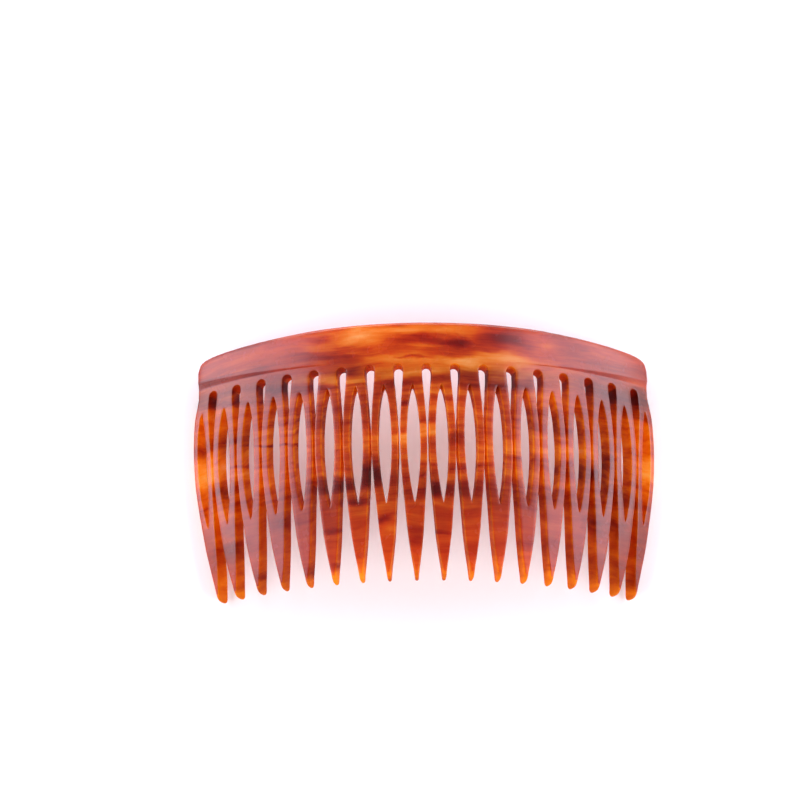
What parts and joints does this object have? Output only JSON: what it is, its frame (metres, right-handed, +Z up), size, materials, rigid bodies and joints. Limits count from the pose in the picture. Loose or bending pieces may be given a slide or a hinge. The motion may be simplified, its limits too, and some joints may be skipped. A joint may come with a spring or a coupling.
{
  "type": "decorative hair comb",
  "caption": "Arched side comb in mottled tortoiseshell acetate: a crowned spine with a row of springy pointed teeth, each pierced by a lens-shaped eye, curved to fit the head.",
  "frame": {"origin": "centre of the comb's footprint, on the surface it lies on with its arch up, resting on the two spine ends and the two outermost tips", "axes": "+X along the arch from tooth_01 to tooth_18, +Y from the tips towards the spine, +Z up, out of the convex side"},
  "size_m": [0.0906, 0.0522, 0.0187],
  "materials": {
    "tortoiseshell_acetate": "polished translucent tortoiseshell cellulose acetate, amber with red-brown mottling"
  },
  "bodies": {
    "spine": {"spine": "tortoiseshell_acetate"},
    "tooth_01": {"tooth_01": "tortoiseshell_acetate"},
    "tooth_02": {"tooth_02": "tortoiseshell_acetate"},
    "tooth_03": {"tooth_03": "tortoiseshell_acetate"},
    "tooth_04": {"tooth_04": "tortoiseshell_acetate"},
    "tooth_05": {"tooth_05": "tortoiseshell_acetate"},
    "tooth_06": {"tooth_06": "tortoiseshell_acetate"},
    "tooth_07": {"tooth_07": "tortoiseshell_acetate"},
    "tooth_08": {"tooth_08": "tortoiseshell_acetate"},
    "tooth_09": {"tooth_09": "tortoiseshell_acetate"},
    "tooth_10": {"tooth_10": "tortoiseshell_acetate"},
    "tooth_11": {"tooth_11": "tortoiseshell_acetate"},
    "tooth_12": {"tooth_12": "tortoiseshell_acetate"},
    "tooth_13": {"tooth_13": "tortoiseshell_acetate"},
    "tooth_14": {"tooth_14": "tortoiseshell_acetate"},
    "tooth_15": {"tooth_15": "tortoiseshell_acetate"},
    "tooth_16": {"tooth_16": "tortoiseshell_acetate"},
    "tooth_17": {"tooth_17": "tortoiseshell_acetate"},
    "tooth_18": {"tooth_18": "tortoiseshell_acetate"}
  },
  "joints": [
    {"name": "tooth_01_flex", "type": "hinge", "parent": "spine", "child": "tooth_01", "pos_m": [-0.04252, 0.01501, 0.00239], "axis": [0.8028, 0.047, 0.5944], "range_deg": [-5, 5], "stiffness_Nm_per_rad": 0.42, "deforming": ["tooth_01"]},
    {"name": "tooth_02_flex", "type": "hinge", "parent": "spine", "child": "tooth_02", "pos_m": [-0.03847, 0.01523, 0.00518], "axis": [0.842, 0.0425, 0.5378], "range_deg": [-5, 5], "stiffness_Nm_per_rad": 0.5, "deforming": ["tooth_02"]},
    {"name": "tooth_03_flex", "type": "hinge", "parent": "spine", "child": "tooth_03", "pos_m": [-0.03381, 0.01545, 0.00792], "axis": [0.8805, 0.0374, 0.4726], "range_deg": [-5, 5], "stiffness_Nm_per_rad": 0.5, "deforming": ["tooth_03"]},
    {"name": "tooth_04_flex", "type": "hinge", "parent": "spine", "child": "tooth_04", "pos_m": [-0.02894, 0.01564, 0.01029], "axis": [0.9139, 0.032, 0.4046], "range_deg": [-5, 5], "stiffness_Nm_per_rad": 0.5, "deforming": ["tooth_04"]},
    {"name": "tooth_05_flex", "type": "hinge", "parent": "spine", "child": "tooth_05", "pos_m": [-0.02391, 0.0158, 0.0123], "axis": [0.9421, 0.0264, 0.3343], "range_deg": [-5, 5], "stiffness_Nm_per_rad": 0.5, "deforming": ["tooth_05"]},
    {"name": "tooth_06_flex", "type": "hinge", "parent": "spine", "child": "tooth_06", "pos_m": [-0.01874, 0.01592, 0.01391], "axis": [0.9648, 0.0207, 0.262], "range_deg": [-5, 5], "stiffness_Nm_per_rad": 0.5, "deforming": ["tooth_06"]},
    {"name": "tooth_07_flex", "type": "hinge", "parent": "spine", "child": "tooth_07", "pos_m": [-0.01346, 0.01602, 0.01513], "axis": [0.982, 0.0149, 0.1882], "range_deg": [-5, 5], "stiffness_Nm_per_rad": 0.5, "deforming": ["tooth_07"]},
    {"name": "tooth_08_flex", "type": "hinge", "parent": "spine", "child": "tooth_08", "pos_m": [-0.00811, 0.01608, 0.01595], "axis": [0.9935, 0.009, 0.1134], "range_deg": [-5, 5], "stiffness_Nm_per_rad": 0.5, "deforming": ["tooth_08"]},
    {"name": "tooth_09_flex", "type": "hinge", "parent": "spine", "child": "tooth_09", "pos_m": [-0.00271, 0.01612, 0.01636], "axis": [0.9993, 0.003, 0.0379], "range_deg": [-5, 5], "stiffness_Nm_per_rad": 0.5, "deforming": ["tooth_09"]},
    {"name": "tooth_10_flex", "type": "hinge", "parent": "spine", "child": "tooth_10", "pos_m": [0.00271, 0.01612, 0.01636], "axis": [0.9993, -0.003, -0.0379], "range_deg": [-5, 5], "stiffness_Nm_per_rad": 0.5, "deforming": ["tooth_10"]},
    {"name": "tooth_11_flex", "type": "hinge", "parent": "spine", "child": "tooth_11", "pos_m": [0.00811, 0.01608, 0.01595], "axis": [0.9935, -0.009, -0.1134], "range_deg": [-5, 5], "stiffness_Nm_per_rad": 0.5, "deforming": ["tooth_11"]},
    {"name": "tooth_12_flex", "type": "hinge", "parent": "spine", "child": "tooth_12", "pos_m": [0.01346, 0.01602, 0.01513], "axis": [0.982, -0.0149, -0.1882], "range_deg": [-5, 5], "stiffness_Nm_per_rad": 0.5, "deforming": ["tooth_12"]},
    {"name": "tooth_13_flex", "type": "hinge", "parent": "spine", "child": "tooth_13", "pos_m": [0.01874, 0.01592, 0.01391], "axis": [0.9648, -0.0207, -0.262], "range_deg": [-5, 5], "stiffness_Nm_per_rad": 0.5, "deforming": ["tooth_13"]},
    {"name": "tooth_14_flex", "type": "hinge", "parent": "spine", "child": "tooth_14", "pos_m": [0.02391, 0.0158, 0.0123], "axis": [0.9421, -0.0264, -0.3343], "range_deg": [-5, 5], "stiffness_Nm_per_rad": 0.5, "deforming": ["tooth_14"]},
    {"name": "tooth_15_flex", "type": "hinge", "parent": "spine", "child": "tooth_15", "pos_m": [0.02894, 0.01564, 0.01029], "axis": [0.9139, -0.032, -0.4046], "range_deg": [-5, 5], "stiffness_Nm_per_rad": 0.5, "deforming": ["tooth_15"]},
    {"name": "tooth_16_flex", "type": "hinge", "parent": "spine", "child": "tooth_16", "pos_m": [0.03381, 0.01545, 0.00792], "axis": [0.8805, -0.0374, -0.4726], "range_deg": [-5, 5], "stiffness_Nm_per_rad": 0.5, "deforming": ["tooth_16"]},
    {"name": "tooth_17_flex", "type": "hinge", "parent": "spine", "child": "tooth_17", "pos_m": [0.03847, 0.01523, 0.00518], "axis": [0.842, -0.0425, -0.5378], "range_deg": [-5, 5], "stiffness_Nm_per_rad": 0.5, "deforming": ["tooth_17"]},
    {"name": "tooth_18_flex", "type": "hinge", "parent": "spine", "child": "tooth_18", "pos_m": [0.04252, 0.01501, 0.00239], "axis": [0.8028, -0.047, -0.5944], "range_deg": [-5, 5], "stiffness_Nm_per_rad": 0.42, "deforming": ["tooth_18"]}
  ]
}
